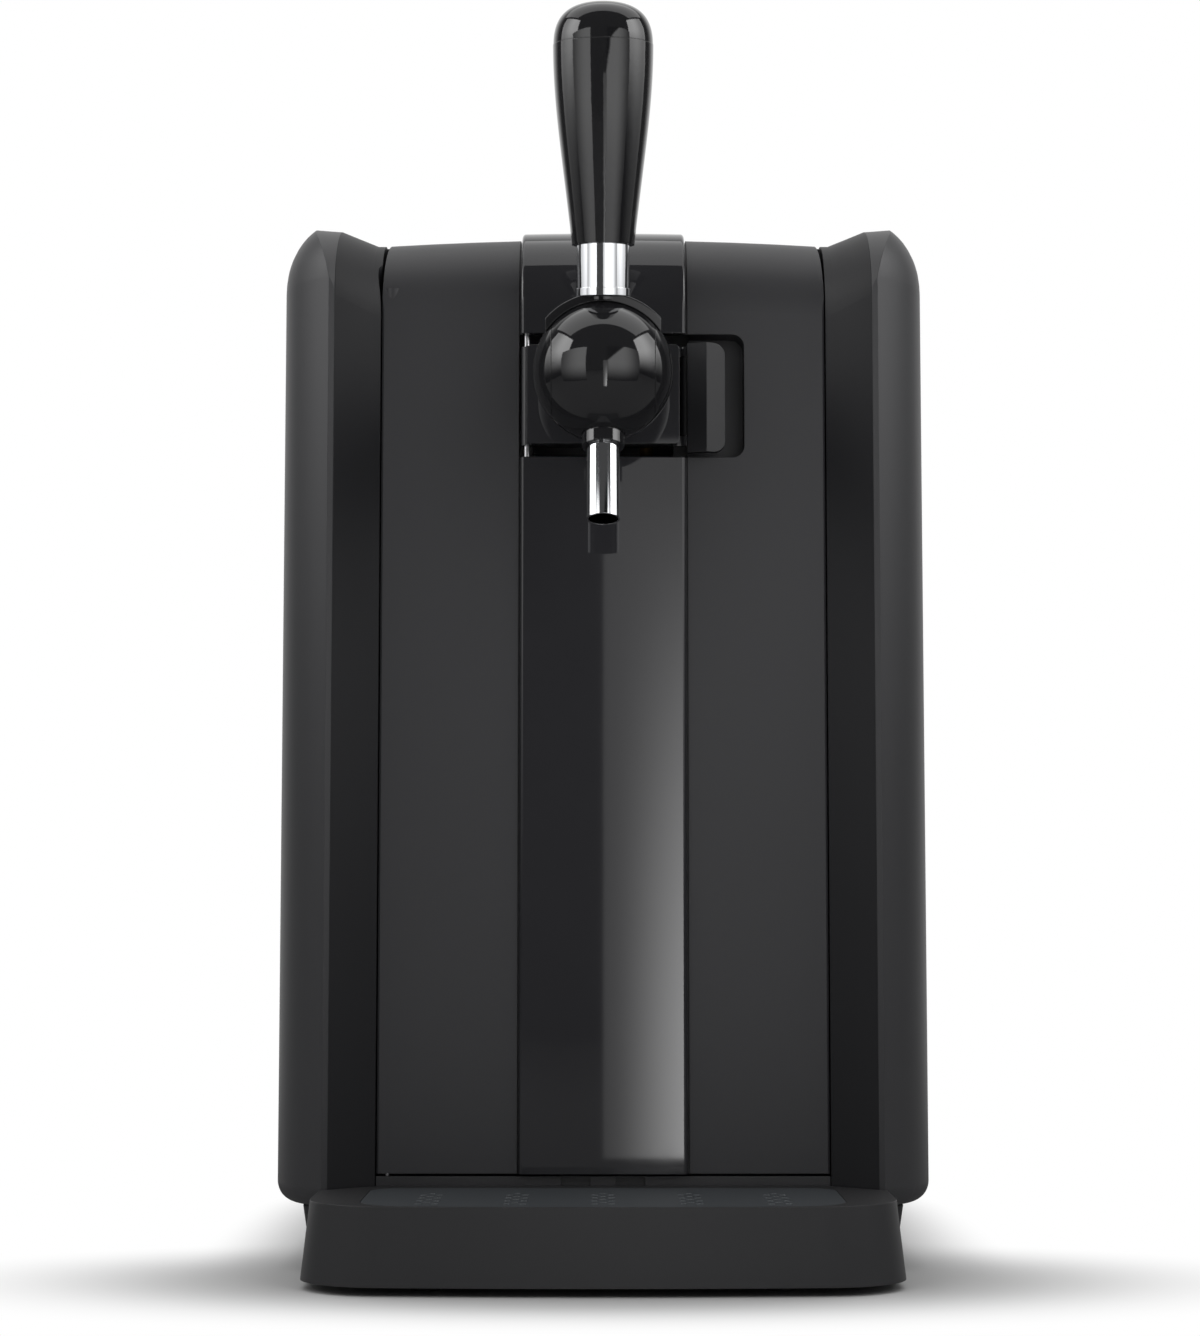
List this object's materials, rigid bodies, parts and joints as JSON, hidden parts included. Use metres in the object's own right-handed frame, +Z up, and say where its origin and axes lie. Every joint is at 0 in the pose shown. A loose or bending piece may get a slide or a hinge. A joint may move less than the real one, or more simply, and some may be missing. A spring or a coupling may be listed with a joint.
{
  "type": "mini keg beer dispenser",
  "caption": "Counter-top cooler and dispenser for a mini keg, with a hinged front door, ball-shaped tap with tall handle, leaning spout and slide-out drip tray.",
  "frame": {"origin": "on the counter, under the centre of the bounding box", "axes": "+Z up, +X to the right seen from the front, +Y towards the rear; the tap faces -Y"},
  "size_m": [0.261, 0.444, 0.4928],
  "materials": {
    "body_matte": "fine matte texture",
    "body_dark": "fine matte texture, darker",
    "band_gloss": "polished black",
    "tap_gloss": "polished black",
    "tray_matte": "fine matte texture",
    "chrome": "polished",
    "steel": "plain drawn steel",
    "rubber_black": "matt",
    "gasket": "soft, matt",
    "foam": "closed-cell foam",
    "liner_aluminium": "brushed sheet",
    "liner_plastic": "satin",
    "sink_aluminium": "extruded",
    "ceramic_white": "ceramic plates and sealant",
    "fan_black": "moulded",
    "board_green": "lacquered circuit board",
    "display_glass": "smoked clear window",
    "display_panel": "display glass",
    "motor_metal": "plated can",
    "hose_clear": "clear flexible tube",
    "brass": "turned"
  },
  "bodies": {
    "housing": {"base_plinth": "body_dark", "rubber_feet": "rubber_black", "left_side_panel": "body_matte", "right_side_panel": "body_matte", "front_frame": "body_dark", "top_cover": "body_matte", "rear_cover": "body_matte", "panel_screws": "steel", "chamber_liner": "liner_aluminium", "insulation_jacket": "foam", "keg_platform": "liner_plastic", "cold_plate": "sink_aluminium", "peltier_module": "ceramic_white", "heat_sink": "sink_aluminium", "fan_frame": "fan_black", "power_supply_board": "board_green", "control_board": "board_green", "display_module": "display_panel", "display_window": "display_glass", "air_pump_motor": "motor_metal", "air_pump_head": "liner_plastic", "air_nozzle": "brass", "air_hose": "hose_clear", "mains_inlet": "body_dark", "switch_frame": "body_dark", "door_pin": "steel", "hinge_ear": "steel"},
    "door": {"door_panel": "body_matte", "upper_band": "band_gloss", "lower_band": "band_gloss", "door_liner": "liner_plastic", "door_foam": "foam", "door_gasket": "gasket", "tap_hinge_pin": "steel"},
    "tap": {"tap_plate": "band_gloss", "tap_body": "tap_gloss", "ball_cap_left": "tap_gloss", "ball_cap_right": "tap_gloss", "handle_axle": "steel", "pinch_tube": "hose_clear", "spout": "chrome", "spout_nut": "tap_gloss", "lever_pin": "steel", "plunger_spring": "steel"},
    "lever": {"release_lever": "body_matte"},
    "handle": {"handle_hood": "tap_gloss", "handle_collar": "chrome", "handle_grip": "tap_gloss", "handle_cap": "tap_gloss"},
    "plunger": {"pinch_plunger": "liner_plastic"},
    "fan": {"fan_rotor": "fan_black"},
    "rocker": {"switch_rocker": "tap_gloss"},
    "left_button": {"button_left": "body_dark"},
    "right_button": {"button_right": "body_dark"},
    "tray": {"drip_tray": "tray_matte"},
    "tray_cover": {"drip_cover": "tray_matte"}
  },
  "joints": [
    {"name": "door_hinge", "type": "hinge", "parent": "housing", "child": "door", "pos_m": [-0.0855, -0.123, 0.2], "axis": [0, 0, -1], "range_deg": [0, 95]},
    {"name": "tap_door_hinge", "type": "hinge", "parent": "door", "child": "tap", "pos_m": [-0.031, -0.1245, 0.347], "axis": [0, 0, -1], "range_deg": [0, 45]},
    {"name": "release_lever_hinge", "type": "hinge", "parent": "tap", "child": "lever", "pos_m": [0.0336, -0.1245, 0.347], "axis": [0, 0, -1], "range_deg": [0, 25], "stiffness_Nm_per_rad": 0.06},
    {"name": "handle_hinge", "type": "hinge", "parent": "tap", "child": "handle", "pos_m": [0, -0.168, 0.35], "axis": [1, 0, 0], "range_deg": [0, 35]},
    {"name": "plunger_slide", "type": "slide", "parent": "tap", "child": "plunger", "axis": [0, 0, 1], "range_m": [0, 0.003], "deforming": ["plunger_spring"]},
    {"name": "fan_spin", "type": "hinge", "parent": "housing", "child": "fan", "pos_m": [0, 0.17, 0.205], "axis": [0, 1, 0], "continuous": true},
    {"name": "switch_rock", "type": "hinge", "parent": "housing", "child": "rocker", "pos_m": [-0.03, 0.214, 0.062], "axis": [1, 0, 0], "range_deg": [-8, 8]},
    {"name": "left_button_press", "type": "slide", "parent": "housing", "child": "left_button", "axis": [0, 0, -1], "range_m": [0, 0.0015], "stiffness_N_per_m": 400},
    {"name": "right_button_press", "type": "slide", "parent": "housing", "child": "right_button", "axis": [0, 0, -1], "range_m": [0, 0.0015], "stiffness_N_per_m": 400},
    {"name": "tray_slide", "type": "slide", "parent": "housing", "child": "tray", "axis": [0, -1, 0], "range_m": [0, 0.07]},
    {"name": "cover_lift", "type": "slide", "parent": "tray", "child": "tray_cover", "axis": [0, 0, 1], "range_m": [0, 0.004]}
  ],
  "couplings": [
    {"joint": "plunger_slide", "follows": "handle_hinge", "m_per_rad": 0.00491}
  ]
}
